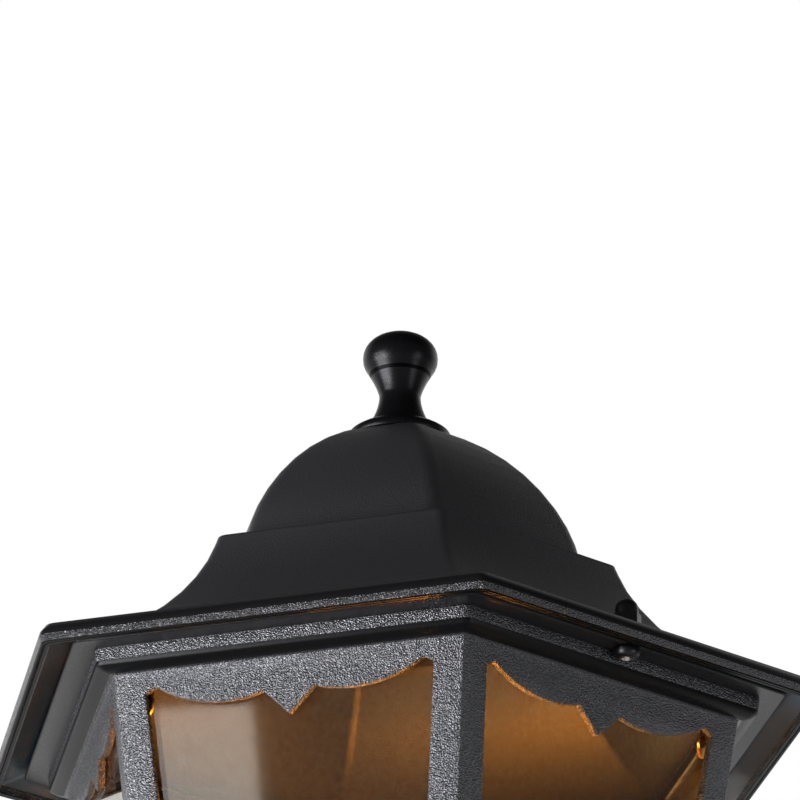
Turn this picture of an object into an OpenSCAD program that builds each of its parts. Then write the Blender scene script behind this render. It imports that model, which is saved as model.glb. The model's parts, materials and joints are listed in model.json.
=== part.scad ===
// Hexagonal garden lamp post with scalloped lantern windows and a turned finial.
// Origin: bottom centre of the foot, +Z up. One lantern corner faces -Y.

/* [Post] */
// Height of the top of the post tube above the ground
post_h = 884; // [700:2:1200]
// Outer diameter of the post tube
tube_d = 60; // [54:1:64]
// Wall thickness of the post tube
tube_wall = 3; // [2:0.5:4]
// Height of the middle collar above the ground
collar_z = 470; // [300:10:560]
// Height of the middle collar
collar_h = 34; // [30:1:50]
// How far the middle collar stands out from the tube
collar_out = 10; // [7:0.5:14]

/* [Foot] */
// Diameter of the foot plate
foot_d = 200; // [190:2:240]
// Thickness of the foot plate at its rim
foot_plate_t = 10; // [8:0.5:14]
// Height of the foot casting
foot_h = 112; // [95:1:160]
// Wall thickness of the foot's neck
foot_wall = 6; // [5:0.5:8]
// Diameter of the circle of anchor holes
anchor_pcd = 168; // [160:1:176]
// Diameter of each anchor hole
anchor_hole_d = 10; // [8:0.5:12]
// Number of anchor holes
anchor_n = 4; // [3:1:6]
// Height of the ledge that the tube stands on
ledge_z = 20; // [17:1:28]
// Thickness of that ledge
ledge_t = 6; // [5:0.5:8]
// Diameter of the cable way through the grommet
cable_way_d = 12; // [8:0.5:16]

/* [Lantern socket] */
// Height of the hexagonal cup between the tube's top and the window frame
cup_h = 60; // [54:1:80]
// Depth of the socket that slips over the tube
socket_depth = 56; // [45:1:80]
// Wall thickness of the socket
socket_wall = 6; // [5:0.5:8]
// Wall thickness of the cup
cup_wall = 5; // [4:0.5:7]
// How far the cup's top edge stands out from the window frame
cup_out = 4; // [2:0.5:7]

/* [Window frame] */
// Height of the leaning panels
panel_h = 175; // [160:1:230]
// How much the panels' corner radius grows per mm of height
face_taper = 0.176; // [0.14:0.004:0.2]
// Thickness of the cast wall
wall_t = 2.2; // [2:0.1:3.5]
// Thickness of the floor flange inside the frame
floor_t = 4; // [3:0.5:6]
// Corner radius of the opening in the floor flange
floor_open_r = 46; // [42:0.5:48]
// Width of the bars beside a window at its top
bar_w = 8.9; // [7:0.5:11]
// Width of the bars beside a window at its bottom
bar_low_w = 8.6; // [6:0.5:10]
// Height of the rail below a window
rail_h = 13; // [10:0.5:20]
// Height from the panel's top down to a window's outer peaks
peak_drop = 5.2; // [4:0.2:8]
// Depth of the two scallops below the panel's top
scallop_drop = 11.2; // [10:0.2:13]
// Radius of each scallop
scallop_r = 37.5; // [34:0.5:44]
// Distance of a scallop's centre from the window's middle
scallop_u = 18; // [16:0.5:20]
// Depth of the pointed drop in the middle below the panel's top
point_drop = 16.5; // [14:0.5:20]
// Thickness of a glass pane
glass_t = 3; // [2:0.5:4]

/* [Roof] */
// Corner radius of the roof's brim
brim_r = 125.5; // [118:0.5:132]
// Height that the lip hangs down below the brim's edge
lip_drop = 3.7; // [3:0.1:6]
// Depth of the fine groove round the lip's underside
lip_groove = 0.7; // [0.4:0.1:1.2]
// Thickness of the lip
lip_t = 3.2; // [2.5:0.1:4]
// Width of the sloping brim, corner to corner
brim_w = 20.55; // [18:0.5:23]
// Rise of the brim up to the skirt
brim_rise = 5.95; // [4.5:0.25:7]
// Thickness of the roof casting
roof_t = 2.4; // [2:0.1:2.8]
// Width of the hollow skirt, corner to corner
skirt_w = 39.4; // [35:0.5:44]
// Rise of the hollow skirt
skirt_rise = 37.7; // [32:0.5:44]
// Width of the flat shelf, corner to corner
shelf_w = 10.07; // [8:0.5:12]
// Full rise of the dome above the shelf
dome_rise = 47.15; // [40:0.5:54]
// Rounding of the roof's corners in plan
corner_f = 3.5; // [2:0.25:5]

/* [Finial] */
// Diameter of the finial's ball
ball_d = 21.8; // [18:0.5:26]
// Diameter of the finial's neck
neck_d = 12; // [9:0.5:14]
// Diameter of the round flange under the finial
flange_d = 30; // [28:0.5:34]
// Height of that flange
flange_h = 5.4; // [4.5:0.1:7]
// Height of the turned finial above its flange
finial_h = 28.9; // [26:0.1:34]
// Height of the ball's crown above its widest line
ball_crown = 7.5; // [6:0.1:9]

/* [Frame head] */
// Width of the black gap between the lip and the frame's flange
gap_w = 8; // [6:0.25:10]
// Width of the flange's flat underside
soffit_w = 7.4; // [6.5:0.25:9]
// Width of the cove below the bead
cove_w = 6.5; // [5:0.25:8]
// Height of the head moulding below the brim's edge
head_h = 6.27; // [5.5:0.1:8]
// Height of the upright face of the bead
bead_h = 3.26; // [2.5:0.1:4]

/* [Fixings] */
// Diameter of the two roof screws
roof_screw_d = 4; // [3:0.5:5]
// How far the roof screws stand outside the middle of the flange's underside
roof_screw_out = 0.4; // [-0.4:0.1:0.6]
// Diameter of the grub screws
grub_d = 6; // [5:0.5:8]
// Number of grub screws in the foot and in the socket
grub_n = 3; // [2:1:4]
// Diameter of the screws that hold the frame and the lamp bracket
floor_screw_d = 4; // [3:0.5:5]
// Distance of those screws from the axis
floor_screw_x = 43.5; // [42.5:0.25:44.5]

/* [Lamp] */
// Diameter of the bulb's glass
bulb_d = 60; // [45:1:64]
// Length of the whole bulb
bulb_h = 106; // [92:1:112]
// Diameter of the lampholder
holder_d = 42; // [38:1:48]
// Length of the lampholder
holder_h = 50; // [44:1:56]
// Outer diameter of the hollow threaded nipple
nipple_d = 10; // [8:0.5:12]
// Thickness of the bracket strip
strip_t = 2; // [1.5:0.25:3]

/* [Clearances] */
// Play of a sliding fit, on the radius
slide_gap = 0.2; // [0.15:0.05:0.3]
// Play between glass and metal
glass_gap = 0.3; // [0.2:0.05:0.4]
// Play of a screw in its hole, on the radius
screw_gap = 0.15; // [0.1:0.05:0.25]

/* [Hidden] */
$fn = 96;

c30 = cos(30);
tube_r = tube_d / 2;
bore_r = tube_r - tube_wall;
sock_r = tube_r + slide_gap;
cup_z = post_h + slide_gap;
frame_z = post_h + cup_h;
panel_z = frame_z + panel_h;
rim_z = panel_z + head_h;
lean = atan(face_taper * c30);

// Corner radii from the brim inwards
lip_lean = 0.6;
flange_r = brim_r - lip_t - gap_w - 0.2;
bead_r = flange_r - soffit_w;
roof_screw_x = (bead_r + flange_r) / 2 * c30 + roof_screw_out;
panel_r = bead_r - cove_w;
skirt_r = brim_r - brim_w;
shelf_r = skirt_r - skirt_w;
dome_r = shelf_r - shelf_w;
apex_r = 10.67;
wall_r = wall_t / cos(lean) / c30;
low_r = panel_r - face_taper * panel_h;
function out_r(z) = panel_r - face_taper * (panel_z - z);
function in_r(z) = out_r(min(z, panel_z)) - wall_r;

// Heights of the roof
skirt_z = rim_z + brim_rise;
shelf_z = skirt_z + skirt_rise;
cav_p = 1.42;
dome_p = 1.27;
crown_a = 78;
function cav(a) = [
    skirt_r - skirt_w * pow(sin(a), cav_p),
    shelf_z - skirt_rise * pow(cos(a), cav_p)
];
function dome(a) = [
    apex_r + (dome_r - apex_r) * pow(cos(a), dome_p),
    shelf_z + dome_rise * pow(sin(a), dome_p)
];
crown_z = dome(crown_a)[1];
crown_t = 4;
lip_in_r = brim_r - lip_t - lip_lean;
lip_z = rim_z - lip_drop;
function under_z(r) = rim_z + brim_rise * (brim_r - r) / brim_w - roof_t;

// A point of a profile moved inwards by t, square to the line from q0 to q1
function inward(p, q0, q1, t) = let (
    dx = (q1[0] - q0[0]) * c30, dz = q1[1] - q0[1], n = norm([dx, dz])
) [p[0] - t * dz / n / c30, p[1] + t * dx / n];

// One hexagonal ring with rounded corners: corner radius r, height z, rounding f
function ring(r, z, f, n) = [
    for (k = [0:5]) for (i = [0:n])
        let (a = -90 + 60 * k, b = a - 30 + 60 * i / n, c = r - f / c30)
        [c * cos(a) + f * cos(b), c * sin(a) + f * sin(b), z]
];

// Skin through rings of [r, z, f]. Closed end to end, or capped at both ends.
module hex_loft(rings, n = 3, closed = false) {
    m = 6 * (n + 1);
    k = len(rings);
    side = [
        for (i = [0:k - (closed ? 1 : 2)]) for (j = [0:m - 1])
            let (a = i * m, b = ((i + 1) % k) * m, j2 = (j + 1) % m)
            [a + j, b + j, b + j2, a + j2]
    ];
    caps = closed ? [] : [[for (j = [0:m - 1]) j], [for (j = [m - 1:-1:0]) (k - 1) * m + j]];
    polyhedron([for (q = rings) each ring(q[0], q[1], q[2], n)], concat(side, caps), 4);
}

// Frame of a leaning face: x along the face, y up its slope, z outwards
module on_face(az) {
    rotate([0, 0, az]) translate([panel_r * c30, 0, panel_z])
        rotate([0, lean, 0]) rotate([90, 0, 90]) children();
}

module hex_nut(af, t, hole_r) {
    difference() {
        cylinder(r = af / 2 / c30, h = t, $fn = 6);
        translate([0, 0, -1]) cylinder(r = hole_r, h = t + 2);
    }
}

// Socket-head screw along +Z with its head's underside at z = 0
module socket_screw(d, l, head_d, head_h) {
    difference() {
        union() {
            translate([0, 0, -l]) cylinder(d = d, h = l + 0.5);
            cylinder(d = head_d, h = head_h);
        }
        translate([0, 0, head_h - d / 2]) cylinder(r = d * 0.36, h = d, $fn = 6);
    }
}

// Grub screw along +X, from the tube's face out to r_out
module grub(r_in, r_out) {
    rotate([0, 90, 0]) difference() {
        translate([0, 0, r_in]) cylinder(d = grub_d, h = r_out - r_in);
        translate([0, 0, r_out - grub_d / 2]) cylinder(r = grub_d * 0.3, h = grub_d, $fn = 6);
    }
}

// Post

neck_r = sock_r + foot_wall;
foot_grub_z = foot_h - 16;
grommet_r = cable_way_d / 2 + 5;

module base_foot() {
    rim = foot_d / 2;
    swell_r = anchor_pcd / 2 - anchor_hole_d / 2 - 9;
    rise = foot_h - foot_plate_t - 34;
    color("#2b2c2e") difference() {
        rotate_extrude() polygon(concat(
            [
                [grommet_r + slide_gap, ledge_z - ledge_t], [neck_r, ledge_z - ledge_t],
                [neck_r + 12, foot_plate_t / 2], [neck_r + 14, 0],
                [rim, 0], [rim, foot_plate_t - 3]
            ],
            [for (a = [15:15:90]) [rim - 3 + 3 * cos(a), foot_plate_t - 3 + 3 * sin(a)]],
            [for (a = [0:9:90])
                [neck_r + (swell_r - neck_r) * (1 - sin(a)), foot_plate_t + 3 + rise * (1 - cos(a))]],
            [
                [neck_r, foot_h - 12], [neck_r + 1.5, foot_h - 11], [neck_r + 3, foot_h - 8.5],
                [neck_r + 3, foot_h - 4], [neck_r + 1.5, foot_h - 1.5], [neck_r - 1.5, foot_h],
                [sock_r, foot_h], [sock_r, ledge_z], [grommet_r + slide_gap, ledge_z]
            ]
        ));
        for (i = [0:anchor_n - 1]) rotate([0, 0, 45 + 360 * i / anchor_n])
            translate([anchor_pcd / 2, 0, -1]) cylinder(d = anchor_hole_d, h = foot_plate_t + 2);
        for (i = [0:grub_n - 1]) rotate([0, 0, 90 + 360 * i / grub_n])
            translate([tube_r - 1, 0, foot_grub_z]) rotate([0, 90, 0])
                cylinder(r = grub_d / 2 + screw_gap, h = foot_wall + 6);
    }
}

module cable_grommet() {
    color("#1b1b1c") difference() {
        union() {
            translate([0, 0, ledge_z - ledge_t - 3]) cylinder(r = grommet_r, h = ledge_t + 5);
            translate([0, 0, ledge_z - ledge_t - 3]) cylinder(r = grommet_r + 3, h = 3 - slide_gap);
            translate([0, 0, ledge_z + slide_gap]) cylinder(r = grommet_r + 3, h = 2);
        }
        translate([0, 0, ledge_z - ledge_t - 4]) cylinder(d = cable_way_d, h = ledge_t + 8);
    }
}

module foot_grub_screws() {
    color("#6d6e70") for (i = [0:grub_n - 1]) rotate([0, 0, 90 + 360 * i / grub_n])
        translate([0, 0, foot_grub_z]) grub(tube_r + 0.05, neck_r - 0.5);
}

module post_tube() {
    color("#2b2c2e") difference() {
        translate([0, 0, ledge_z]) cylinder(r = tube_r, h = post_h - ledge_z);
        translate([0, 0, ledge_z - 1]) cylinder(r = bore_r, h = post_h - ledge_z + 2);
    }
}

module mid_collar() {
    r0 = sock_r + collar_out * 0.35;
    r1 = sock_r + collar_out;
    h = collar_h / 2;
    color("#2b2c2e") translate([0, 0, collar_z]) difference() {
        rotate_extrude() polygon(concat(
            [[sock_r, -h], [r0, -h], [r0 + 1, -h + 1], [r0 + 1, -h + 4], [r0, -h + 5]],
            [for (a = [-80:16:80]) [r0 + (r1 - r0) * cos(a), (h - 6) * sin(a)]],
            [[r0, h - 5], [r0 + 1, h - 4], [r0 + 1, h - 1], [r0, h], [sock_r, h]]
        ));
        rotate([0, 0, 90]) translate([tube_r - 1, 0, 0]) rotate([0, 90, 0])
            cylinder(r = grub_d / 2 + screw_gap, h = collar_out + 6);
    }
}

module collar_grub_screw() {
    color("#6d6e70") rotate([0, 0, 90]) translate([0, 0, collar_z])
        grub(tube_r + 0.05, sock_r + collar_out - 1.5);
}

// Lantern cup and socket

sock_out_r = sock_r + socket_wall;
sock_grub_z = post_h - socket_depth + 18;
cup_top_r = low_r + cup_out;
cup_floor_t = 6;
way_r = 14;

shoulder_r = sock_out_r + 1;
flare_r0 = shoulder_r / c30;
flare_r1 = cup_top_r - 5;
function flare(a) = [
    flare_r0 + (flare_r1 - flare_r0) * (1 - cos(a)),
    post_h + 2 + (cup_h - 16) * sin(a)
];
function flare_f(a, r, least) = max(least, r * (1.15 * cos(a) - 0.15));

module cup_outside() {
    hex_loft(concat(
        [[flare_r0, post_h - 8, shoulder_r], [flare_r0, post_h + 2, shoulder_r]],
        [for (a = [15:15:90]) let (p = flare(a)) [p[0], p[1], flare_f(a, shoulder_r, 2.5)]],
        [
            [cup_top_r - 5, frame_z - 12, 2.5], [cup_top_r - 1, frame_z - 11.4, 2.5],
            [cup_top_r, frame_z - 10.2, 2.5], [cup_top_r, frame_z - 2.2, 2.5],
            [cup_top_r - 1, frame_z - 0.8, 2.5], [cup_top_r - 3, frame_z, 2.5]
        ]
    ), 5);
}

module cup_inside() {
    function skin(a) = inward(flare(a), flare(a + 2), flare(a - 2), -cup_wall);
    in_f = shoulder_r - cup_wall;
    hex_loft(concat(
        [let (p = skin(8)) [p[0], cup_z + cup_floor_t, flare_f(8, in_f, 2)]],
        [for (a = [15:15:75]) let (p = skin(a)) [p[0], p[1], flare_f(a, in_f, 2)]],
        [[skin(75)[0], frame_z + 1, 2]]
    ), 5);
}

module floor_bosses() {
    for (k = [0:5]) rotate([0, 0, 60 * k]) translate([floor_screw_x, 0, post_h])
        cylinder(r = floor_screw_d / 2 + 3.2, h = cup_h + 3);
}

module lantern_cup() {
    color("#2b2c2e") difference() {
        union() {
            cup_outside();
            translate([0, 0, post_h - socket_depth]) rotate_extrude() polygon([
                [sock_r - 1, 0], [sock_out_r, 0], [sock_out_r + 2, 1.5], [sock_out_r + 2.6, 4],
                [sock_out_r + 2, 6.5], [sock_out_r, 8], [sock_out_r, socket_depth - 5],
                [sock_r - 1, socket_depth - 5]
            ]);
        }
        translate([0, 0, post_h - socket_depth - 1]) cylinder(r = sock_r, h = socket_depth + 1 + slide_gap);
        translate([0, 0, post_h - 1]) cylinder(r = way_r, h = cup_floor_t + 8);
        difference() {
            cup_inside();
            floor_bosses();
        }
        for (k = [0:5]) rotate([0, 0, 60 * k]) translate([floor_screw_x, 0, frame_z - 14])
            cylinder(r = floor_screw_d / 2 + screw_gap, h = 16);
        for (i = [0:grub_n - 1]) rotate([0, 0, 90 + 360 * i / grub_n])
            translate([tube_r - 1, 0, sock_grub_z]) rotate([0, 90, 0])
                cylinder(r = grub_d / 2 + screw_gap, h = socket_wall + 6);
    }
}

module socket_grub_screws() {
    color("#6d6e70") for (i = [0:grub_n - 1]) rotate([0, 0, 90 + 360 * i / grub_n])
        translate([0, 0, sock_grub_z]) grub(tube_r + 0.05, sock_out_r - 0.5);
}

// Window frame: one casting

floor_z = frame_z + floor_t;
soffit_z = rim_z - 1;
flange_top_z = rim_z + 2.7;
seat_z = rim_z + 1.5;
roof_boss_d = roof_screw_d + 6;
boss_h = 3;
washer_t = 0.8;
washer_z = seat_z + boss_h;
cap_nut_z = washer_z + washer_t;

module window_outline() {
    down = cos(lean);
    top_y = -peak_drop / down;
    low_y = -(panel_h - rail_h) / down;
    half_top = panel_r / 2 - bar_w;
    half_low = out_r(frame_z + rail_h) / 2 - bar_low_w;
    cham = 3.1;
    sc_y = -scallop_drop / down + scallop_r;
    tip_y = -point_drop / down;
    notch = scallop_u - 10.6;
    difference() {
        polygon([
            [-half_low, low_y], [half_low, low_y], [half_top, top_y - 1.7], [half_top - cham, top_y],
            [-half_top + cham, top_y], [-half_top, top_y - 1.7]
        ]);
        for (s = [-1, 1]) translate([s * scallop_u, sc_y]) circle(r = scallop_r);
        polygon([[0, tip_y], [notch, tip_y + 7], [notch, 5], [-notch, 5], [-notch, tip_y + 7]]);
    }
}

module window_frame() {
    f = 3;
    s = 0.3;
    b0 = panel_z + head_h - 1.3 - bead_h;
    color("#303133") difference() {
        union() {
            hex_loft([
                [out_r(frame_z), frame_z, s], [panel_r, panel_z, s],
                [panel_r + cove_w * 0.3, panel_z + (b0 - panel_z) * 0.12, 1],
                [panel_r + cove_w * 0.65, panel_z + (b0 - panel_z) * 0.45, 2],
                [bead_r - 1, b0, f], [bead_r - 0.3, b0 + 0.3, f], [bead_r, b0 + 0.9, f],
                [bead_r, soffit_z - 0.9, f], [bead_r - 0.3, soffit_z - 0.3, f], [bead_r - 1, soffit_z, f],
                [flange_r - 0.4, soffit_z, f], [flange_r, soffit_z + 0.3, f],
                [flange_r, rim_z + 0.2, f], [flange_r - 9.65, flange_top_z, f],
                [in_r(panel_z), flange_top_z, 1], [in_r(panel_z), panel_z, s],
                [in_r(floor_z), floor_z, s], [floor_open_r, floor_z, f], [floor_open_r, frame_z, f]
            ], 3, true);
            for (az = [-60, 120]) rotate([0, 0, az]) translate([roof_screw_x - 0.8, 0, rim_z - 0.6])
                cylinder(d = roof_screw_d + 2.6, h = seat_z - rim_z + 0.6);
        }
        for (k = [0:5]) on_face(60 * k) translate([0, 0, -wall_t - 12])
            linear_extrude(wall_t + 24) window_outline();
        for (az = [-60, 120]) rotate([0, 0, az]) translate([roof_screw_x, 0, 0]) {
            translate([0, 0, soffit_z - 2]) cylinder(r = roof_screw_d / 2 + screw_gap, h = 10);
            translate([0, 0, seat_z]) cylinder(d = roof_boss_d + 2 * slide_gap, h = 8);
        }
        for (k = [0:5]) rotate([0, 0, 60 * k]) translate([floor_screw_x, 0, frame_z - 1])
            cylinder(r = floor_screw_d / 2 + screw_gap, h = floor_t + 2);
    }
}

pane_out = -wall_t - glass_gap;
pane_top = -1;
pane_low = -(panel_z - floor_z) / cos(lean) + glass_gap + 1;
function pane_half(y) = (in_r(panel_z + y * cos(lean)) - 1) / 2 - (glass_t + glass_gap) * 0.6 - glass_gap;

module pane(k) {
    color("#8a6a45", 0.5) on_face(60 * k) translate([0, 0, pane_out - glass_t])
        linear_extrude(glass_t) polygon([
            [-pane_half(pane_low), pane_low], [pane_half(pane_low), pane_low],
            [pane_half(pane_top), pane_top], [-pane_half(pane_top), pane_top]
        ]);
}
module pane_1() { pane(0); }
module pane_2() { pane(1); }
module pane_3() { pane(2); }
module pane_4() { pane(3); }
module pane_5() { pane(4); }
module pane_6() { pane(5); }

// Spring clips in the frame's corners, each holding the top edges of two panes
clip_w = 8.4;
clip_t = 0.8;
clip_leg = 10.6;
module pane_clips() {
    pane_in = in_r(panel_z) - (glass_t + 2 * glass_gap) / cos(lean) / c30;
    r = pane_in - clip_w / 2 / tan(60) - 0.4;
    lean_c = atan(face_taper);
    leg = in_r(panel_z) - r - clip_w / 2 / tan(60);
    color("#b08d3c") for (k = [0:5]) rotate([0, 0, -90 + 60 * k]) translate([r, 0, panel_z]) union() {
        rotate([0, lean_c, 0]) rotate([90, 0, 90]) translate([0, 0, -clip_t]) linear_extrude(clip_t)
            polygon(concat(
                [[clip_w / 2, 0.6 + clip_t], [-clip_w / 2, 0.6 + clip_t]],
                [for (a = [180:15:360]) [clip_w / 2 * cos(a), clip_w / 2 * (1 + sin(a)) - clip_leg]]
            ));
        translate([-0.4, 0.3 - clip_w / 2, 0.4]) cube([leg, clip_w - 0.6, clip_t]);
    }
}

// Fixings between frame and cup

module frame_screws() {
    color("#8d8f91") for (k = [1, 2, 4, 5]) rotate([0, 0, 60 * k])
        translate([floor_screw_x, 0, floor_z]) socket_screw(floor_screw_d, floor_t + 10, floor_screw_d + 3, 3);
}

strip_z = floor_z;
strip_w = 16;
lamp_z = strip_z + strip_t;

module lamp_bracket() {
    l = floor_screw_x + 5;
    color("#9a9c9e") difference() {
        translate([-l, -strip_w / 2, strip_z]) cube([2 * l, strip_w, strip_t]);
        for (s = [-1, 1]) translate([s * floor_screw_x, 0, strip_z - 1])
            cylinder(r = floor_screw_d / 2 + screw_gap, h = strip_t + 2);
        translate([0, 0, strip_z - 1]) cylinder(r = nipple_d / 2 + screw_gap, h = strip_t + 2);
        translate([26, 0, strip_z - 1]) cylinder(r = 2 + screw_gap, h = strip_t + 2);
    }
}

module bracket_screws() {
    color("#8d8f91") for (s = [0, 180]) rotate([0, 0, s]) translate([floor_screw_x, 0, lamp_z])
        socket_screw(floor_screw_d, strip_t + floor_t + 9, floor_screw_d + 3, 3);
}

module earth_screw() {
    color("#b08d3c") translate([26, 0, 0]) union() {
        translate([0, 0, strip_z - 6]) cylinder(r = 2, h = strip_t + 7);
        translate([0, 0, lamp_z]) cylinder(r = 4.5, h = 0.8);
        translate([0, 0, lamp_z + 0.8]) cylinder(r = 4, h = 2.8, $fn = 6);
        translate([0, 0, strip_z - 3.2]) cylinder(r = 4, h = 3.2, $fn = 6);
    }
}

nut_t = 4;
nut_af = nipple_d + 4;
holder_z = lamp_z + nut_t;

module nipple() {
    color("#a8a9ab") translate([0, 0, strip_z - nut_t - 4]) difference() {
        cylinder(d = nipple_d, h = strip_t + 2 * nut_t + 12);
        translate([0, 0, -1]) cylinder(r = nipple_d / 2 - 1.5, h = strip_t + 2 * nut_t + 14);
    }
}

module nipple_nuts() {
    color("#a8a9ab") for (z = [strip_z - nut_t, lamp_z])
        translate([0, 0, z]) hex_nut(nut_af, nut_t, nipple_d / 2 + 0.1);
}

module terminal_block() {
    color("#e8e6df") difference() {
        translate([-34, -9, strip_z - 14]) cube([22, 18, 14]);
        for (y = [-4.5, 4.5]) translate([-35, y, strip_z - 8]) rotate([0, 90, 0]) cylinder(d = 4.2, h = 24);
        for (x = [-29, -17], y = [-4.5, 4.5]) translate([x, y, strip_z - 15]) cylinder(d = 3.4, h = 6);
    }
}

// Lampholder and bulb

holder_r = holder_d / 2;
split_h = holder_h * 0.42;
screw_r = 13.2;
module holder_cap() {
    color("#1b1b1c") translate([0, 0, holder_z]) rotate_extrude() polygon([
        [nipple_d / 2 + 0.2, 0], [holder_r * 0.55, 0], [holder_r * 0.8, 3], [holder_r * 0.94, 9],
        [holder_r, 15], [holder_r, split_h], [nipple_d / 2 + 0.2, split_h]
    ]);
}
module holder_shell() {
    color("#1b1b1c") translate([0, 0, holder_z + split_h]) rotate_extrude() polygon([
        [0, 0], [holder_r - 1, 0], [holder_r - 1, 2], [holder_r, 2.5], [holder_r, holder_h - split_h - 1.5],
        [holder_r - 1.5, holder_h - split_h], [screw_r + 0.4, holder_h - split_h], [screw_r + 0.4, 4], [0, 4]
    ]);
}
cap_z = holder_z + split_h + 4.3;
cap_h = 26;
module bulb_cap() {
    color("#b9bbbd") translate([0, 0, cap_z]) rotate_extrude() polygon([
        [0, 0], [4.5, 0], [5, 2], [10, 3.6], [screw_r - 0.8, 4.6], [screw_r, 6], [screw_r - 0.8, 7.5],
        [screw_r, 9], [screw_r - 0.8, 10.5], [screw_r, 12], [screw_r - 0.8, 13.5], [screw_r, 15],
        [screw_r - 0.8, 16.5], [screw_r, 18], [screw_r, cap_h], [0, cap_h]
    ]);
}
module bulb_glass() {
    r = bulb_d / 2;
    h = bulb_h - cap_h;
    color("#fff2d8") translate([0, 0, cap_z + cap_h]) rotate_extrude() polygon(concat(
        [[0, 0], [screw_r + 0.6, 0], [screw_r + 1, 3]],
        [for (a = [-40:8:88]) [r * cos(a), h - r + r * sin(a)]],
        [[0, h]]
    ));
}

// Roof: one casting

module roof() {
    q = corner_f;
    d = 5;
    color("#26272a") difference() {
        union() {
            hex_loft(concat(
                [let (p = dome(crown_a)) [p[0] - 3, crown_z - crown_t, 4]],
                [for (a = [64:-16:16]) let (p = inward(dome(a), dome(a - 2), dome(a + 2), roof_t)) [p[0], p[1], d]],
                [
                    [dome_r - roof_t / c30, shelf_z - roof_t, q],
                    [shelf_r - roof_t / c30 - 0.6, shelf_z - roof_t, q]
                ],
                [for (a = [78:-13:13]) let (p = inward(cav(a), cav(a - 2), cav(a + 2), roof_t)) [p[0], p[1], q]],
                [
                    [skirt_r, under_z(skirt_r), q], [lip_in_r, under_z(lip_in_r), q],
                    [lip_in_r, lip_z + 0.5, q], [lip_in_r + 0.4, lip_z + 0.5, q],
                    [lip_in_r + 0.4, lip_z, q], [lip_in_r + 1.5, lip_z, q],
                    [lip_in_r + 1.5, lip_z + lip_groove, q], [lip_in_r + 1.9, lip_z + lip_groove, q],
                    [lip_in_r + 1.9, lip_z, q], [brim_r - lip_lean - 0.5, lip_z, q],
                    [brim_r - lip_lean, lip_z + 0.5, q], [brim_r, rim_z - 1, q],
                    [brim_r - 0.25, rim_z - 0.3, q], [brim_r - 1, rim_z + 0.29, q]
                ],
                [for (a = [0:10:80]) let (p = cav(a)) [p[0], p[1], q]],
                [
                    [shelf_r, shelf_z - 1.2, q], [shelf_r - 0.3, shelf_z - 0.35, q],
                    [shelf_r - 1.2, shelf_z, q], [dome_r + 0.3, shelf_z, d]
                ],
                [for (a = [6:8:70]) let (p = dome(a)) [p[0], p[1], d]],
                [let (p = dome(crown_a)) [p[0], p[1], d]]
            ));
            for (az = [-60, 120]) rotate([0, 0, az]) translate([roof_screw_x, 0, seat_z])
                cylinder(d = roof_boss_d, h = boss_h);
        }
        for (az = [-60, 120]) rotate([0, 0, az]) translate([roof_screw_x, 0, 0]) {
            translate([0, 0, rim_z - 4]) cylinder(r = roof_screw_d / 2 + screw_gap, h = 20);
            translate([0, 0, washer_z]) cylinder(d = roof_boss_d, h = 12);
            translate([0, 0, seat_z - 6]) cylinder(d = roof_boss_d, h = 6);
        }
        translate([0, 0, crown_z - crown_t - 2]) cylinder(r = 3 + screw_gap, h = crown_t + 4);
    }
}

module roof_screws() {
    l = cap_nut_z + 4.6 - soffit_z;
    color("#55575a") for (az = [-60, 120]) rotate([0, 0, az]) translate([roof_screw_x, 0, soffit_z])
        rotate([180, 0, 0]) difference() {
            union() {
                translate([0, 0, -l]) cylinder(d = roof_screw_d, h = l + 0.5);
                rotate_extrude() polygon([[0, 0], [3.5, 0], [3.6, 1.2], [3.2, 2.3], [2.2, 2.9], [0, 3.1]]);
            }
            translate([0, 0, 1.4]) cylinder(r = 1.45, h = 3, $fn = 6);
        }
}

module roof_washers() {
    color("#2b2c2e") for (az = [-60, 120]) rotate([0, 0, az]) translate([roof_screw_x, 0, washer_z])
        difference() {
            cylinder(d = roof_boss_d - 1, h = washer_t);
            translate([0, 0, -1]) cylinder(r = roof_screw_d / 2 + screw_gap, h = 3);
        }
}

module cap_nuts() {
    af = roof_screw_d + 3;
    color("#2b2c2e") for (az = [-60, 120]) rotate([0, 0, az]) translate([roof_screw_x, 0, cap_nut_z])
        difference() {
            union() {
                cylinder(r = af / 2 / c30, h = 3.4, $fn = 6);
                rotate_extrude() polygon(concat(
                    [[0, 3], [3.2, 3], [3.2, 4.6]],
                    [for (a = [0:15:90]) [3.2 * cos(a), 4.8 + 3.2 * sin(a)]]
                ));
            }
            translate([0, 0, -1]) cylinder(r = roof_screw_d / 2 + 0.1, h = 6);
        }
}

// Finial

flange_z = crown_z;
knob_z = flange_z + flange_h;
stud_r = 3;

module finial_flange() {
    r = flange_d / 2;
    color("#151518") translate([0, 0, flange_z]) difference() {
        rotate_extrude() polygon([
            [0, 0], [r - 0.4, 0], [r, 0.4], [r, 1.8], [r - 0.35, 2.5], [r - 1.1, 3.1], [r - 2.7, 4.1],
            [r - 4.4, flange_h * 0.92], [neck_d / 2 + 3, flange_h], [0, flange_h]
        ]);
        translate([0, 0, -1]) cylinder(r = stud_r + screw_gap, h = flange_h + 2);
    }
}

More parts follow.
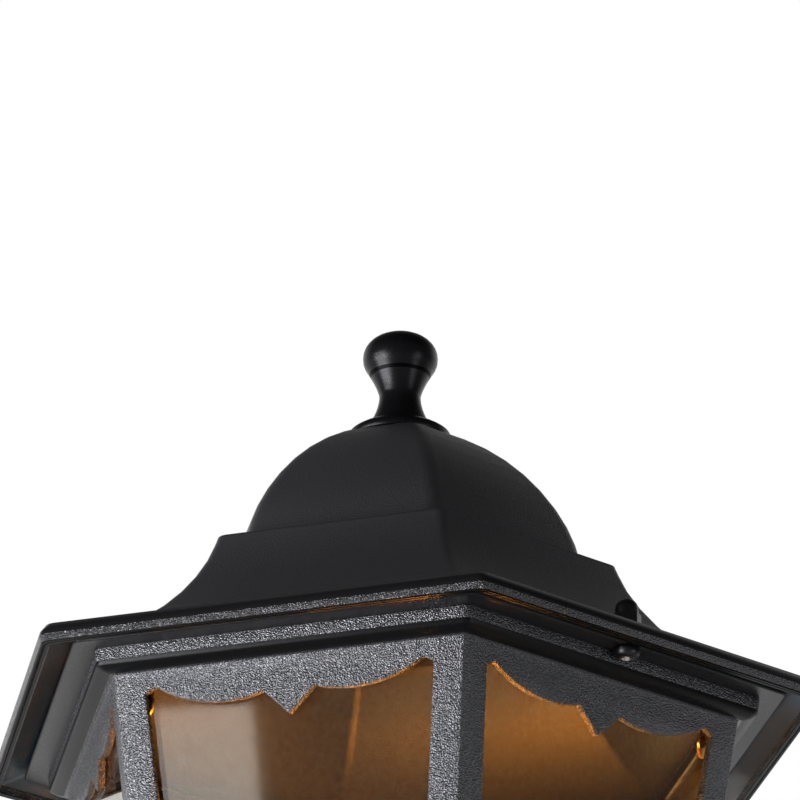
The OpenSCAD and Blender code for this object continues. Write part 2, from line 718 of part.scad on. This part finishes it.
// Turned finial: foot, neck, flattened ball and crown
module finial_knob() {
    b = ball_d / 2;
    n = neck_d / 2;
    foot_r = n + 3;
    mid = finial_h - ball_crown;
    neck_z = mid * 0.43;
    brow_z = mid * 0.86;
    brow_r = b * 0.94;
    color("#151518") translate([0, 0, knob_z]) difference() {
        rotate_extrude() polygon(concat(
            [[0, 0], [foot_r, 0]],
            [for (t = [0.1:0.15:1]) [n + (foot_r - n) * pow(1 - t, 1.8), neck_z * t]],
            [for (t = [0.1:0.15:1]) [n + (brow_r - n) * pow(t, 1.4), neck_z + (brow_z - neck_z) * t]],
            [[b * 0.985, mid - 1.7], [b, mid]],
            [for (a = [10:10:80]) [b * pow(cos(a), 0.86), mid + ball_crown * sin(a)]],
            [[0, finial_h]]
        ));
        translate([0, 0, -1]) cylinder(r = stud_r + screw_gap, h = finial_h * 0.4);
    }
}

module finial_stud() {
    z0 = crown_z - crown_t - 10;
    color("#a8a9ab") translate([0, 0, z0]) cylinder(r = stud_r, h = knob_z + finial_h * 0.3 - z0);
}

module finial_nut() {
    z = crown_z - crown_t;
    color("#a8a9ab") union() {
        translate([0, 0, z - 1.2]) difference() {
            cylinder(r = 6, h = 1.2);
            translate([0, 0, -1]) cylinder(r = stud_r + 0.1, h = 4);
        }
        translate([0, 0, z - 6.2]) hex_nut(10, 5, stud_r + 0.1);
    }
}

base_foot();
cable_grommet();
foot_grub_screws();
post_tube();
mid_collar();
collar_grub_screw();
lantern_cup();
socket_grub_screws();
window_frame();
pane_1();
pane_2();
pane_3();
pane_4();
pane_5();
pane_6();
pane_clips();
frame_screws();
lamp_bracket();
bracket_screws();
earth_screw();
nipple();
nipple_nuts();
terminal_block();
holder_cap();
holder_shell();
bulb_cap();
bulb_glass();
roof();
roof_screws();
roof_washers();
cap_nuts();
finial_flange();
finial_knob();
finial_stud();
finial_nut();
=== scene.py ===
"""Garden lamp post with a hexagonal lantern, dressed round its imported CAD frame."""
import bpy
import bmesh
import json
import math
from collections import namedtuple
from mathutils import Matrix, Vector


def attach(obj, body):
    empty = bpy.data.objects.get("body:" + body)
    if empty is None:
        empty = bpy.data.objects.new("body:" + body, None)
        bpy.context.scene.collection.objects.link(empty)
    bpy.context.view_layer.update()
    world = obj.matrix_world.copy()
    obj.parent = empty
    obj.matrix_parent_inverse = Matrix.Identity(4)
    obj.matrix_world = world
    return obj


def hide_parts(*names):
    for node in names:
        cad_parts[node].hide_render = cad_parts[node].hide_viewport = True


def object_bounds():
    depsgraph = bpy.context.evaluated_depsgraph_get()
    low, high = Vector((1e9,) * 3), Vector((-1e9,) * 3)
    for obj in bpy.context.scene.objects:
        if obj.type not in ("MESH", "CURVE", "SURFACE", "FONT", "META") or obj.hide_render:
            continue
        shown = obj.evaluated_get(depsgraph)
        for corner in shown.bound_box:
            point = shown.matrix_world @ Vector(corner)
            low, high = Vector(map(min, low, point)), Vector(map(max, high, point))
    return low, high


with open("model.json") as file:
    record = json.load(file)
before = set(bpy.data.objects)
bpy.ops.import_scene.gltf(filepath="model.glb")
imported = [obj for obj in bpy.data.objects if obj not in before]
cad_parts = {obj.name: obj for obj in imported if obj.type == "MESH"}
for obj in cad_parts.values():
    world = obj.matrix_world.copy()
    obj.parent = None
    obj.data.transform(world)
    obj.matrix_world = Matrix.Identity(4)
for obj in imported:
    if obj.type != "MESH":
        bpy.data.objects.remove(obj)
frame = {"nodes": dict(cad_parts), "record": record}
nodes = frame["nodes"]
cad_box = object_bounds()

MM = 0.001
C30 = math.cos(math.radians(30))
FACE_WAYS = [(math.cos(math.radians(60 * k)), math.sin(math.radians(60 * k))) for k in range(6)]
SLOTS = {part["node"]: part["material_slot"] for part in frame["record"]["subparts"]}

# Camera: a long lens low down, a little left of a lantern corner, that looks up at the roof.
CAMERA_AT = Vector((-249.96, -1394.82, 608.90)) * MM
CAMERA_TURN = math.radians(-10.15992)   # about Z, from straight along +Y
CAMERA_PITCH = math.radians(23.6234)    # above the horizon
CAMERA_ROLL = math.radians(0.63192)
LENS_MM = 240.137
SENSOR_MM = 36.0
CLIP = (0.05, 50.0)                     # nearest and farthest that it sees, in metres
BEHIND = Matrix.Rotation(CAMERA_TURN, 3, "Z") @ Vector((0, 1, 0))   # level, away from the camera

# Heights and radii in millimetres. A hexagon's radius goes to its sharp corner.
RIM_Z = min(vert.co.z for vert in nodes["roof"].data.vertices) / MM   # lower edge of the roof's lip
SOFFIT_Z = RIM_Z + 2.7                  # level underside of the window frame's flange
TOP_Z = cad_box[1][2] / MM              # top of the finial
LIP_R = 125.5                           # roof's rolled lip
BEAD_R = 106.7                          # window frame's bead
SCREW_HEAD_R = 3.6                      # roof screws, at the rim of the head
SCREWS_AT = math.radians(-60)           # way to one roof screw; the other stands opposite
SOCKET_R = (1.6, 2.1)                   # bright inside the first, dull outside the second

# Bands of the coat between two heights. Shine is a share of the coat's own, and black takes the rest.
# Bands with little shine are painted darker than the real coat, for shade that these lights don't give.
Band = namedtuple("Band", "low high depth_mm roughness shine")
COVE = Band(SOFFIT_Z - 5.97, SOFFIT_Z - 3.37, 0.02, 0.40, 0.15)     # cove beneath the bead, darkened as painted shade
FLANGE = Band(SOFFIT_Z - 0.12, SOFFIT_Z + 2.63, 0.02, 0.40, 0.30)   # flange over the bead, darkened as painted shade
RIM = Band(RIM_Z - 0.27, RIM_Z + 0.33, 0.02, 0.45, 0.10)            # lip's level lower edge, darkened as painted shade
LIP = Band(RIM_Z + 0.33, RIM_Z + 2.13, 0.60, 0.26, 1.00)            # coarse lower half of the lip
ROLL = Band(RIM_Z + 2.13, RIM_Z + 6.03, 0.01, 0.22, 0.40)           # its smooth upper half, darkened as painted shade
CREASE = Band(TOP_Z - 13.57, TOP_Z - 12.57, 0.004, 0.40, 0.20)      # a line of painted shade beneath the finial's ball
EAVE = (RIM_Z + 2.33, RIM_Z + 6.03)     # the roof's underside outside the window frame, whose downward faces get painted light
FACES_DOWN = -0.6                       # a face whose normal's Z is less than this looks down

# The coat
SPECKLE = 0.16                          # how much smoother the tops of the pebbles are
COAT_SHEEN = "#f7f7ff"                  # faint blue cast of the coat's shine
CLOUD_MM = 45.0                         # slow change of gloss over a casting
CLOUD_GLOSS = 0.03                      # how far it goes either way
BLACK = (0, 0, 0, 1)
WHITE = (1, 1, 1, 1)

# The bulb
BULB_STRENGTH = 17.5
BULB_COLOUR = "#ffa73a"

# Edges of the castings
MERGE_MM = 0.002                        # vertices closer than this are one
FLAT_DEG = 0.5                          # facets that turn less than this are one face
TURN_DEG = 28.0                         # an edge that turns more than this is rounded
SMOOTH_DEG = 40.0                       # one that turns less than this is shaded smooth
RING_Z_SLACK = 0.02                     # how far off its height a ring's vertex may lie
RING_R_SLACK = (-0.7, 0.1)              # and off its radius, as the hexagon's corners are rounded
# Rings that the mould's soft edges move: (out from the lip's or bead's radius, height over the rim
# or soffit, move out, move up)
LIP_RINGS = ((-0.6, 0.5, 0.05, 0.13), (0, 2.7, 0, -0.87), (-0.25, 3.4, -0.05, -0.07),
             (-1.0, 3.99, -1.1, 1.64))
BEAD_RINGS = ((-6.5, -5.27, -0.12, -0.8), (-4.55, -5.06, -0.05, -0.86), (-2.28, -4.5, -0.42, -1.02),
              (-1.0, -3.56, -0.5, -1.36), (-0.3, -3.26, -0.6, -1.41), (0, -2.66, -0.65, -1.51),
              (0, -0.9, 0, 0.38), (-0.3, -0.3, 0.25, 0.08), (-1.0, 0, 0.7, 0))
MOVED_RINGS = {"roof": (LIP_R, RIM_Z, LIP_RINGS), "window_frame": (BEAD_R, SOFFIT_Z, BEAD_RINGS)}
EDGE_MM = {                             # radius of the rounded edges of each dressed casting
    "roof": 0.0, "window_frame": 0.4, "lantern_cup": 0.0, "base_foot": 0.0, "mid_collar": 0.0,
    "post_tube": 0.0, "finial_flange": 0.0, "finial_knob": 0.0, "cap_nuts": 0.25,
    "roof_screws": 0.0, "pane_clips": 0.15,
}

# The studio, in metres
FLOOR_HALF = 6.0
FLOOR_MOTTLE_MM = 60.0
FLOOR_SHINE = 0.5                       # how much whiter the floor behind shows in gloss
FLOOR_FADE = (0.5, 1.5)                 # that white starts and is full this far behind the post
ROOM_LEVEL = 0.13                       # how bright the room in front and above mirrors in gloss
FILL_LEVEL = 0.35                       # even fill light on matt surfaces
SWEEP_FADE = (0.15, 0.65)               # how far back a way points where the white starts and is full
CEILING_FADE = (0.35, 0.75)             # and how far up where it starts to dim and has dimmed
BOX_AWAY = 1.6                          # from the post's axis to each soft box
# Soft boxes: name, azimuth in degrees, lowest edge, highest edge, width, radiance
SOFT_BOXES = (
    ("left", -50.0, 0.12, 0.95, 0.6, 3.8),
    ("left_top", -50.0, 1.12, 1.22, 0.6, 3.8),
    ("right", 56.0, 0.12, 0.95, 0.6, 2.0),
    ("right_top", 56.0, 1.12, 1.22, 0.6, 2.4),
    ("far_left", -68.0, 0.05, 0.95, 1.1, 13.0),
    ("far_left_top", -66.0, 1.12, 1.30, 1.0, 13.0),
    ("left_spill", -33.0, 0.40, 1.50, 0.4, 0.14),
)
FLAGGED_BOX = "far_left"                # kept off the floor, which it would burn out


def make_camera():
    """Camera at the photographed viewing angle."""
    data = bpy.data.cameras.new("photo_camera")
    data.sensor_width = SENSOR_MM
    data.lens = LENS_MM
    data.clip_start, data.clip_end = CLIP
    camera = bpy.data.objects.new("photo_camera", data)
    bpy.context.scene.collection.objects.link(camera)
    ahead = Vector((0, math.cos(CAMERA_PITCH), math.sin(CAMERA_PITCH)))
    right = Vector((1, 0, 0))
    up = right.cross(ahead)
    side = right * math.cos(CAMERA_ROLL) + up * math.sin(CAMERA_ROLL)
    top = up * math.cos(CAMERA_ROLL) - right * math.sin(CAMERA_ROLL)
    look = Matrix((side, top, -ahead)).transposed()
    turn = Matrix.Rotation(CAMERA_TURN, 3, "Z")
    camera.matrix_world = Matrix.Translation(CAMERA_AT) @ (turn @ look).to_4x4()
    bpy.context.scene.camera = camera


def linear(code):
    """sRGB hex colour as the linear colour that Blender works in."""
    parts = [int(code[i:i + 2], 16) / 255 for i in (1, 3, 5)]
    return [p / 12.92 if p <= 0.04045 else ((p + 0.055) / 1.055) ** 2.4 for p in parts] + [1.0]


def add(tree, kind, inputs=None, **settings):
    """Adds a node with its settings; an input is a value or another node's output."""
    node = tree.nodes.new(kind)
    for name, value in settings.items():
        setattr(node, name, value)
    for name, value in (inputs or {}).items():
        if isinstance(value, bpy.types.NodeSocket):
            tree.links.new(value, node.inputs[name])
        else:
            node.inputs[name].default_value = value
    return node


def start(name, base, **shader_inputs):
    """A new material with one Principled shader; gives its tree and shader."""
    mat = bpy.data.materials.new(name)
    mat.use_nodes = True
    tree = mat.node_tree
    tree.nodes.clear()
    shader = add(tree, "ShaderNodeBsdfPrincipled", {"Base Color": linear(base)})
    for key, value in shader_inputs.items():
        shader.inputs[key.replace("_", " ").title().replace("Ior", "IOR")].default_value = value
    add(tree, "ShaderNodeOutputMaterial", {"Surface": shader.outputs["BSDF"]})
    return mat, tree, shader


def per_mm(size):
    """Noise scale that draws a pattern of this size in millimetres."""
    return 1.0 / (size * MM)


def between(tree, height, low, high):
    """1 where a height in metres lies between two heights in millimetres, and 0 elsewhere."""
    middle, half = (low + high) / 2 * MM, (high - low) / 2 * MM
    return add(tree, "ShaderNodeMath", {0: height, 1: middle, 2: half}, operation="COMPARE").outputs[0]


def painted_light_below(tree, colour, height, under):
    """The coat's colour, with the colour for under painted on the faces of the eave that look down, as
    painted light.
    """
    facing = add(tree, "ShaderNodeSeparateXYZ", {
        "Vector": add(tree, "ShaderNodeNewGeometry").outputs["True Normal"]})
    down = add(tree, "ShaderNodeMath", {0: facing.outputs["Z"], 1: FACES_DOWN}, operation="LESS_THAN")
    painted_light_mask = add(tree, "ShaderNodeMath", {0: down.outputs[0], 1: between(tree, height, *EAVE)},
                operation="MULTIPLY")
    return add(tree, "ShaderNodeMix", {
        "Factor": painted_light_mask.outputs[0], "A": colour, "B": linear(under)}, data_type="RGBA").outputs["Result"]


def powder_coat(name, base, roughness, grain_mm, depth_mm, specular, ior=1.5, edge_mm=0.0, bands=(),
                under=None):
    """Polyester powder coat baked on metal: near black, with a fine pebbled skin.

    In a band the skin runs smoother or coarser and more or less black, and that black is painted shade.
    edge_mm is how far the paint rounds an edge. under is a lighter colour for the eave's downward faces:
    painted light, as these lights leave those faces too dark.
    """
    mat, tree, shader = start(name, base, ior=ior, specular_ior_level=specular)
    shader.inputs["Specular Tint"].default_value = linear(COAT_SHEEN)
    place = add(tree, "ShaderNodeTexCoord").outputs["Object"]
    height = add(tree, "ShaderNodeSeparateXYZ", {"Vector": place}).outputs["Z"]
    depth, rough, shine, painted_shade = depth_mm, roughness, specular, 0.0
    for band in bands:
        inside = between(tree, height, band.low, band.high)
        depth = add(tree, "ShaderNodeMix", {
            "Factor": inside, "A": depth, "B": band.depth_mm}).outputs["Result"]
        rough = add(tree, "ShaderNodeMix", {
            "Factor": inside, "A": rough, "B": band.roughness}).outputs["Result"]
        shine = add(tree, "ShaderNodeMix", {
            "Factor": inside, "A": shine, "B": band.shine * specular}).outputs["Result"]
        painted_shade = add(tree, "ShaderNodeMix", {
            "Factor": inside, "A": painted_shade, "B": 1.0 - band.shine}).outputs["Result"]
    if bands:
        # A band's share of black is painted shade.
        colour = add(tree, "ShaderNodeMix", {
            "Factor": painted_shade, "A": linear(base), "B": BLACK}, data_type="RGBA").outputs["Result"]
        if under:
            colour = painted_light_below(tree, colour, height, under)
        tree.links.new(colour, shader.inputs["Base Color"])
        tree.links.new(shine, shader.inputs["Specular IOR Level"])

    pebbles = add(tree, "ShaderNodeTexNoise", {
        "Vector": place, "Scale": per_mm(grain_mm), "Detail": 0.0})
    cloud = add(tree, "ShaderNodeTexNoise", {
        "Vector": place, "Scale": per_mm(CLOUD_MM), "Detail": 2.0})
    drift = add(tree, "ShaderNodeMapRange", {
        "Value": cloud.outputs["Fac"], "From Min": 0.3, "From Max": 0.7,
        "To Min": -CLOUD_GLOSS, "To Max": CLOUD_GLOSS})
    speck = add(tree, "ShaderNodeMath", {
        0: pebbles.outputs["Fac"], 1: -SPECKLE, 2: drift.outputs["Result"]}, operation="MULTIPLY_ADD")
    uneven = add(tree, "ShaderNodeMath", {0: speck.outputs[0], 1: rough}, operation="ADD", use_clamp=True)
    relief = add(tree, "ShaderNodeMath", {0: pebbles.outputs["Fac"], 1: depth}, operation="MULTIPLY")
    skin = add(tree, "ShaderNodeBump", {"Height": relief.outputs[0], "Strength": 1.0, "Distance": MM})
    if edge_mm:
        eased = add(tree, "ShaderNodeBevel", {"Radius": edge_mm * MM}, samples=4)
        tree.links.new(eased.outputs["Normal"], skin.inputs["Normal"])
    tree.links.new(uneven.outputs[0], shader.inputs["Roughness"])
    tree.links.new(skin.outputs["Normal"], shader.inputs["Normal"])
    return mat


def bright_metal(name, base, roughness, streak_mm):
    """Plated or rolled metal: a mirror-like tone broken by faint rubbed streaks."""
    mat, tree, shader = start(name, base, metallic=1.0)
    place = add(tree, "ShaderNodeTexCoord").outputs["Object"]
    rub = add(tree, "ShaderNodeTexNoise", {"Vector": place, "Scale": per_mm(streak_mm), "Detail": 4.0})
    gloss = add(tree, "ShaderNodeMapRange", {
        "Value": rub.outputs["Fac"], "From Min": 0.3, "From Max": 0.7,
        "To Min": roughness, "To Max": roughness + 0.15})
    tree.links.new(gloss.outputs["Result"], shader.inputs["Roughness"])
    return mat


def dull_screws(name, node):
    """Zinc plated socket screws, gone dull on the head and still bright in and round the socket."""
    mat, tree, shader = start(name, "#45464a", metallic=1.0)
    outward = Vector((math.cos(SCREWS_AT), math.sin(SCREWS_AT), 0))
    across = Vector((-math.sin(SCREWS_AT), math.cos(SCREWS_AT), 0))
    farthest = max(abs(vert.co.dot(outward)) for vert in nodes[node].data.vertices)
    place = add(tree, "ShaderNodeTexCoord").outputs["Object"]
    along = add(tree, "ShaderNodeVectorMath", {0: place, 1: outward}, operation="DOT_PRODUCT")
    along = add(tree, "ShaderNodeMath", {0: along.outputs["Value"]}, operation="ABSOLUTE")
    along = add(tree, "ShaderNodeMath", {0: along.outputs[0], 1: farthest - SCREW_HEAD_R * MM},
                operation="SUBTRACT")
    aside = add(tree, "ShaderNodeVectorMath", {0: place, 1: across}, operation="DOT_PRODUCT")
    offset = add(tree, "ShaderNodeCombineXYZ", {"X": along.outputs[0], "Y": aside.outputs["Value"]})
    away = add(tree, "ShaderNodeVectorMath", {0: offset.outputs["Vector"]}, operation="LENGTH")
    dull = add(tree, "ShaderNodeMapRange", {
        "Value": away.outputs["Value"], "From Min": SOCKET_R[0] * MM, "From Max": SOCKET_R[1] * MM,
        "To Min": 0.0, "To Max": 1.0})
    colour = add(tree, "ShaderNodeMix", {
        "Factor": dull.outputs["Result"], "A": linear("#e0e0e0"), "B": linear("#3a3b3f")},
        data_type="RGBA")
    gloss = add(tree, "ShaderNodeMapRange", {
        "Value": dull.outputs["Result"], "To Min": 0.12, "To Max": 0.35})
    tree.links.new(colour.outputs["Result"], shader.inputs["Base Color"])
    tree.links.new(gloss.outputs["Result"], shader.inputs["Roughness"])
    return mat


def moulded(name, base, roughness, grain_mm):
    """Moulded plastic or rubber: one tone with a faint spark-eroded grain."""
    mat, tree, shader = start(name, base)
    place = add(tree, "ShaderNodeTexCoord").outputs["Object"]
    grain = add(tree, "ShaderNodeTexNoise", {"Vector": place, "Scale": per_mm(grain_mm), "Detail": 2.0})
    gloss = add(tree, "ShaderNodeMapRange", {
        "Value": grain.outputs["Fac"], "To Min": roughness - 0.08, "To Max": roughness + 0.08})
    skin = add(tree, "ShaderNodeBump", {
        "Height": grain.outputs["Fac"], "Strength": 0.4, "Distance": 0.05 * MM})
    tree.links.new(gloss.outputs["Result"], shader.inputs["Roughness"])
    tree.links.new(skin.outputs["Normal"], shader.inputs["Normal"])
    return mat


def float_glass(name, film_mm):
    """Clear float glass with a slight smoke tint and a thin film of dust: the lit inside shows
    through it as a clouded brown gold."""
    mat, tree, shader = start(name, "#f6deba", transmission_weight=1.0, roughness=0.03, ior=1.46)
    place = add(tree, "ShaderNodeTexCoord").outputs["Object"]
    film = add(tree, "ShaderNodeTexNoise", {
        "Vector": place, "Scale": per_mm(film_mm), "Detail": 3.0, "Roughness": 0.7})
    tint = add(tree, "ShaderNodeMapRange", {
        "Value": film.outputs["Fac"], "From Min": 0.3, "From Max": 0.7,
        "To Min": 0.0, "To Max": 1.0})
    colour = add(tree, "ShaderNodeMix", {
        "Factor": tint.outputs["Result"], "A": linear("#e2c698"), "B": linear("#fff0d2")},
        data_type="RGBA")
    tree.links.new(colour.outputs["Result"], shader.inputs["Base Color"])
    return mat


def lit_opal(name):
    """Opal glass envelope of a burning bulb: an even warm glow."""
    mat, tree, shader = start(name, "#f5ead2", roughness=0.25, emission_strength=BULB_STRENGTH)
    shader.inputs["Emission Color"].default_value = linear(BULB_COLOUR)
    return mat


# The pebbles are drawn a little coarser than the real ones, so that they show in the render.
FINISHES = {
    "cast_black": powder_coat("pebbled_powder_coat", "#202124", roughness=0.33, grain_mm=0.37,
                              depth_mm=0.36, specular=1.0, ior=1.6, edge_mm=0.8,
                              bands=(COVE, FLANGE)),
    # The roof's lighter colour for the eave's downward faces is painted light.
    "roof_black": powder_coat("satin_powder_coat", "#28282a", roughness=0.50, grain_mm=0.40,
                              depth_mm=0.09, specular=0.8, bands=(RIM, LIP, ROLL), under="#56636f"),
    "tube_black": powder_coat("tube_powder_coat", "#1e1f22", roughness=0.38, grain_mm=0.40,
                              depth_mm=0.25, specular=0.8),
    "gloss_black": powder_coat("gloss_lacquer", "#0b0b0d", roughness=0.36, grain_mm=0.80,
                               depth_mm=0.004, specular=0.20, bands=(CREASE,)),
    "black_steel": powder_coat("black_zinc_steel", "#101011", roughness=0.46, grain_mm=0.50,
                               depth_mm=0.02, specular=0.3),
    "plain_steel": bright_metal("zinc_plated_steel", "#b9babb", roughness=0.22, streak_mm=2.0),
    "clip_brass": bright_metal("bright_brass", "#d8a95a", roughness=0.18, streak_mm=3.0),
    "bulb_metal": bright_metal("rolled_aluminium", "#c9cacb", roughness=0.25, streak_mm=1.5),
    "rubber": moulded("black_rubber", "#1a1a1a", roughness=0.75, grain_mm=0.8),
    "bakelite": moulded("black_phenolic", "#17171a", roughness=0.40, grain_mm=1.2),
    "white_block": moulded("white_polyamide", "#dcdad2", roughness=0.50, grain_mm=1.0),
    "smoked_glass": float_glass("smoked_float_glass", film_mm=1.6),
    "bulb_opal": lit_opal("lit_opal_glass"),
}


def move_rings(bm, radius, level, moves):
    """Moves whole rings of a hexagonal casting outwards and upwards, as listed in its moves."""
    for vert in bm.verts:
        reach = max(vert.co.x * c + vert.co.y * s for c, s in FACE_WAYS) / C30 / MM
        for beside, over, out, up in moves:
            off = reach - radius - beside
            level_with = abs(vert.co.z / MM - level - over) < RING_Z_SLACK
            if level_with and RING_R_SLACK[0] < off < RING_R_SLACK[1]:
                grown = (reach + out) / reach
                vert.co = Vector((vert.co.x * grown, vert.co.y * grown, (level + over + up) * MM))
                break


def dressed_casting(node, edge_mm):
    """The CAD casting again, with its hard edges rounded as a mould and its paint leave them."""
    bm = bmesh.new()
    bm.from_mesh(nodes[node].data)
    bmesh.ops.remove_doubles(bm, verts=bm.verts, dist=MERGE_MM * MM)
    if node in MOVED_RINGS:
        move_rings(bm, *MOVED_RINGS[node])
    bmesh.ops.dissolve_limit(bm, angle_limit=math.radians(FLAT_DEG), verts=bm.verts, edges=bm.edges,
                             delimit={"NORMAL"})
    mesh = bpy.data.meshes.new(node + "_cast")
    bm.to_mesh(mesh)
    bm.free()
    mesh.shade_smooth()
    mesh.set_sharp_from_angle(angle=math.radians(SMOOTH_DEG))
    mesh.materials.clear()
    mesh.materials.append(FINISHES[SLOTS[node]])
    piece = bpy.data.objects.new(node + "_cast", mesh)
    bpy.context.scene.collection.objects.link(piece)
    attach(piece, "root")
    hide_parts(node)
    if edge_mm:
        soft = piece.modifiers.new("rounded_edges", "BEVEL")
        soft.width = edge_mm * MM
        soft.segments = 2
        soft.limit_method = "ANGLE"
        soft.angle_limit = math.radians(TURN_DEG)
        soft.use_clamp_overlap = True
        soft.harden_normals = True
    return piece


def make_floor():
    """Plain pale floor under the foot."""
    bm = bmesh.new()
    bmesh.ops.create_grid(bm, x_segments=1, y_segments=1, size=FLOOR_HALF)
    mesh = bpy.data.meshes.new("floor")
    bm.to_mesh(mesh)
    bm.free()
    floor = bpy.data.objects.new("floor", mesh)
    bpy.context.scene.collection.objects.link(floor)
    mat, tree, shader = start("pale_floor", "#dededc", roughness=0.7)
    place = add(tree, "ShaderNodeTexCoord").outputs["Object"]
    mottle = add(tree, "ShaderNodeTexNoise", {
        "Vector": place, "Scale": per_mm(FLOOR_MOTTLE_MM), "Detail": 3.0})
    tone = add(tree, "ShaderNodeMapRange", {
        "Value": mottle.outputs["Fac"], "To Min": 0.66, "To Max": 0.74})
    tree.links.new(tone.outputs["Result"], shader.inputs["Roughness"])
    ray = add(tree, "ShaderNodeLightPath")
    back = add(tree, "ShaderNodeVectorMath", {0: place, 1: BEHIND}, operation="DOT_PRODUCT")
    far = add(tree, "ShaderNodeMapRange", {
        "Value": back.outputs["Value"], "From Min": FLOOR_FADE[0], "From Max": FLOOR_FADE[1],
        "To Min": 0.0, "To Max": FLOOR_SHINE}, interpolation_type="SMOOTHSTEP")
    shine = add(tree, "ShaderNodeMath", {0: ray.outputs["Is Glossy Ray"], 1: far.outputs["Result"]},
                operation="MULTIPLY")
    tree.links.new(shine.outputs[0], shader.inputs["Emission Strength"])
    shader.inputs["Emission Color"].default_value = WHITE
    mesh.materials.append(mat)
    return floor


def soft_box(name, azimuth, low, high, width, radiance):
    """An upright area lamp that faces the post's axis; azimuth 0 is in front, and right is positive."""
    data = bpy.data.lights.new("softbox_" + name, "AREA")
    data.shape = "RECTANGLE"
    data.size, data.size_y = width, high - low
    data.energy = radiance * math.pi * width * (high - low)
    turn = CAMERA_TURN + math.radians(azimuth)
    middle = Vector((0, 0, (low + high) / 2))
    place = Vector((math.sin(turn), -math.cos(turn), 0)) * BOX_AWAY + middle
    box = bpy.data.objects.new("softbox_" + name, data)
    bpy.context.scene.collection.objects.link(box)
    box.location = place
    box.rotation_euler = (middle - place).to_track_quat("-Z", "Y").to_euler()
    box.visible_camera = False
    return box


def make_lights(floor):
    """All soft boxes; a flag keeps the strongest one off the floor."""
    flag = bpy.data.collections.new("flagged_off_the_floor")
    flag.objects.link(floor)
    flag.collection_objects[0].light_linking.link_state = "EXCLUDE"
    for settings in SOFT_BOXES:
        box = soft_box(*settings)
        if settings[0] == FLAGGED_BOX:
            box.light_linking.receiver_collection = flag


def make_world():
    """A white sweep behind the object, a dim room in front and above, and a soft grey fill."""
    world = bpy.data.worlds.new("studio")
    bpy.context.scene.world = world
    world.use_nodes = True
    tree = world.node_tree
    tree.nodes.clear()
    way = add(tree, "ShaderNodeTexCoord").outputs["Generated"]
    depth = add(tree, "ShaderNodeVectorMath", {0: way, 1: BEHIND}, operation="DOT_PRODUCT")
    height = add(tree, "ShaderNodeSeparateXYZ", {"Vector": way})
    sweep = add(tree, "ShaderNodeMapRange", {
        "Value": depth.outputs["Value"], "From Min": SWEEP_FADE[0], "From Max": SWEEP_FADE[1],
        "To Min": ROOM_LEVEL, "To Max": 1.0}, interpolation_type="SMOOTHSTEP")
    top = add(tree, "ShaderNodeMapRange", {
        "Value": height.outputs["Z"], "From Min": CEILING_FADE[0], "From Max": CEILING_FADE[1],
        "To Min": 1.0, "To Max": ROOM_LEVEL}, interpolation_type="SMOOTHSTEP")
    mirrored = add(tree, "ShaderNodeMath", {0: sweep.outputs["Result"], 1: top.outputs["Result"]},
                   operation="MULTIPLY")
    ray = add(tree, "ShaderNodeLightPath")
    bounced = add(tree, "ShaderNodeMath", {
        0: ray.outputs["Diffuse Depth"], 1: ray.outputs["Glossy Depth"]}, operation="ADD")
    through = add(tree, "ShaderNodeMath", {
        0: ray.outputs["Is Transmission Ray"], 1: bounced.outputs[0]}, operation="SUBTRACT")
    seen = add(tree, "ShaderNodeMath", {
        0: ray.outputs["Is Camera Ray"], 1: through.outputs[0]}, operation="MAXIMUM")
    fill = add(tree, "ShaderNodeMix", {
        "Factor": ray.outputs["Is Glossy Ray"], "A": FILL_LEVEL, "B": mirrored.outputs[0]})
    level = add(tree, "ShaderNodeMix", {"Factor": seen.outputs[0], "A": fill.outputs["Result"], "B": 1.0})
    sky = add(tree, "ShaderNodeBackground", {"Strength": level.outputs["Result"]})
    sky.inputs["Color"].default_value = WHITE
    add(tree, "ShaderNodeOutputWorld", {"Surface": sky.outputs["Background"]})


make_camera()
for node, slot in SLOTS.items():
    nodes[node].data.materials.clear()
    nodes[node].data.materials.append(FINISHES[slot])
dressed = {node: dressed_casting(node, edge_mm) for node, edge_mm in EDGE_MM.items()}
dressed["roof_screws"].data.materials[0] = dull_screws("dull_zinc_steel", "roof_screws")
make_lights(make_floor())
make_world()
bpy.context.scene.view_settings.view_transform = "Standard"
